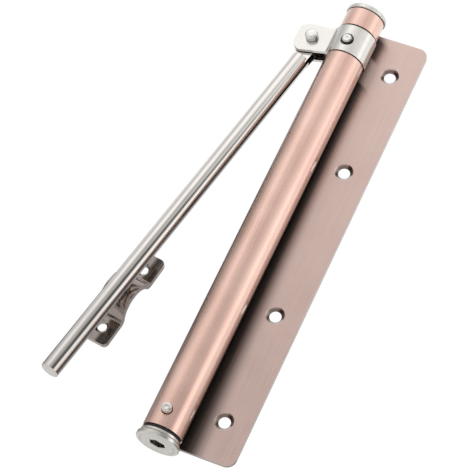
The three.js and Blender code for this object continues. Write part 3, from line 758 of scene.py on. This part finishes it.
# ---- Tension plug and seal --------------------------------------------------------------------
# The turned steel plug that closes the bottom of the barrel and winds the spring. It has a collar,
# a flange with a hexagonal socket, and a groove with cross holes for the lock pin.
plug_low, plug_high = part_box("tension_plug")
plug_face = plug_low.z
collar_top = -126.6 * MM
plug_radius = (plug_high.x - plug_low.x) / 2
neck_radius = 9.6 * MM                     # between the flange and the collar
flange_top = plug_face + 2.5 * MM
collar_bottom = plug_face + 3 * MM
groove_radius = 7 * MM
plug = turned("winding_plug", [
    (6.2 * MM, plug_face),
    (8.4 * MM, plug_face),
    (8.65 * MM, plug_face + 0.35 * MM),
    (8.95 * MM, plug_face + 0.35 * MM),
    (9.15 * MM, plug_face),
    (plug_radius - 0.75 * MM, plug_face),
    (plug_radius - 0.3 * MM, plug_face + 0.15 * MM),
    (plug_radius - 0.06 * MM, plug_face + 0.45 * MM),
    (plug_radius, plug_face + 0.8 * MM),
    (plug_radius, plug_face + 2.2 * MM),
    (plug_radius - 0.3 * MM, flange_top),
    (neck_radius, flange_top),
    (neck_radius, collar_bottom),
    (barrel_radius - 0.15 * MM, collar_bottom),
    (barrel_radius, collar_bottom + 0.15 * MM),
    (barrel_radius, collar_top - 0.15 * MM),
    (barrel_radius - 0.15 * MM, collar_top),
    (shank_radius, collar_top),
    (shank_radius, pin_height - pin_hole_radius),
    (groove_radius, pin_height - pin_hole_radius),
    (groove_radius, pin_height + pin_hole_radius),
    (shank_radius, pin_height + pin_hole_radius),
    (shank_radius, plug_high.z - 0.4 * MM),
    (shank_radius - 0.4 * MM, plug_high.z),
], sides=128)
hex_across_flats = 7.6 * MM
hex_radius = hex_across_flats / math.sqrt(3)
hex_chamfer = 0.4 * MM
hex_depth = 6 * MM
over = 1 * MM
socket = turned("socket", [
    (hex_radius + hex_chamfer + over, plug_face - over),
    (hex_radius + hex_chamfer, plug_face),
    (hex_radius, plug_face + hex_chamfer),
    (hex_radius, plug_face + hex_depth),
], sides=6)
combine(plug, socket)
cross_holes = 6
cross_hole_end = groove_radius - 2.8 * MM
for number in range(cross_holes):
    bore = [(pin_hole_radius, cross_hole_end), (pin_hole_radius, 2 * barrel_radius)]
    drill = turned("drill", bore, sides=32)
    spoke = Matrix.Rotation(math.radians(360 / cross_holes * number), 4, "Z")
    combine(plug, put(drill, spoke @ Matrix.Translation((0, 0, pin_height)) @ ALONG_Y))
put(plug, on_axis)
fit(plug, satin_nickel, "plug", "satin_nickel", "tension_plug")

seal = flat_ring("plug_seal_ring", "plug_seal", inner=8.5 * MM, edge=0.3 * MM)
fit(seal, black_nylon, "closer_body", "black_nylon", "plug_seal")


# ---- Guide bracket ----------------------------------------------------------------------------
# A steel strap pressed into an arch between two screw feet, bright nickel plated. It is screwed
# to the door and the rod slides under it; here it lies loose under the rod.
strap_width = 15.5 * MM
strap_thick = 3 * MM
half_length = 26.8 * MM
half_span = 13.3 * MM
rise_height = 8.8 * MM
foot_bend = 2.4 * MM
foot_corner = 2.5 * MM
strap_round = 0.4 * MM
strap_hole_offset = 18.2 * MM
strap_hole_radius = 2.4 * MM
strap_sink_radius = 3.8 * MM
strap_place = Vector((-73.69 * MM, 0, -61.45 * MM))
strap_turn = math.radians(9)
slope_angle = 2 * math.atan(rise_height / half_span)
crown_radius = half_span / math.sin(slope_angle) - foot_bend
slope = math.degrees(slope_angle)
foot_height = strap_thick / 2
crown_height = foot_height + rise_height - crown_radius
side_view = [(-half_length, foot_height)]
side_view += arc((-half_span, foot_height + foot_bend), foot_bend, -90, slope - 90, 12)
side_view += arc((0, crown_height), crown_radius, 90 + slope, 90 - slope, 36)[1:]
side_view += arc((half_span, foot_height + foot_bend), foot_bend, -90 - slope, -90, 12)[1:]
side_view += [(half_length, foot_height)]
strap = drawn("arched_strap", side_view, closed=False)
pushed(strap, strap_width)
thickened(strap, strap_thick)
# The side view lies in X and Y. This stands it up: X becomes up, and the arch faces -Y.
stand = Matrix(((0, 0, 1, -strap_width / 2), (0, -1, 0, 0), (1, 0, 0, 0), (0, 0, 0, 1)))
put(strap, stand)
bpy.ops.object.mode_set(mode="EDIT")
bpy.ops.mesh.select_all(action="SELECT")
bpy.ops.mesh.normals_make_consistent(inside=False)
pick("EDGE", lambda a, b: min(abs(a.z), abs(b.z)) > 0.999 * half_length
     and min(abs(a.x), abs(b.x)) > 0.499 * strap_width and abs(a.y - b.y) > strap_thick / 2)
bpy.ops.mesh.bevel(offset=foot_corner, segments=8, affect="EDGES")
bpy.ops.object.mode_set(mode="OBJECT")
for offset in (-strap_hole_offset, strap_hole_offset):
    middle = Vector((0, 0, offset))
    combine(strap, screw_hole_tool(middle, 0, strap_thick, strap_hole_radius, strap_sink_radius))
round_edges(strap, strap_round, angle=30)
put(strap, Matrix.Translation(strap_place) @ Matrix.Rotation(strap_turn, 4, "Y"))
# Painted shade: the strap's bright nickel is given a far darker colour than the rod's, standing in for
# the dark things it mirrors.
strap_nickel = plated_metal(
    "strap_nickel_painted_shade", (0.36, 0.31, 0.285), (0.32, 0.275, 0.25), (0.1, 0.16), (400, 400, 400), 0.02,
)
fit(strap, strap_nickel, "bracket", "bright_nickel", "guide_bracket")
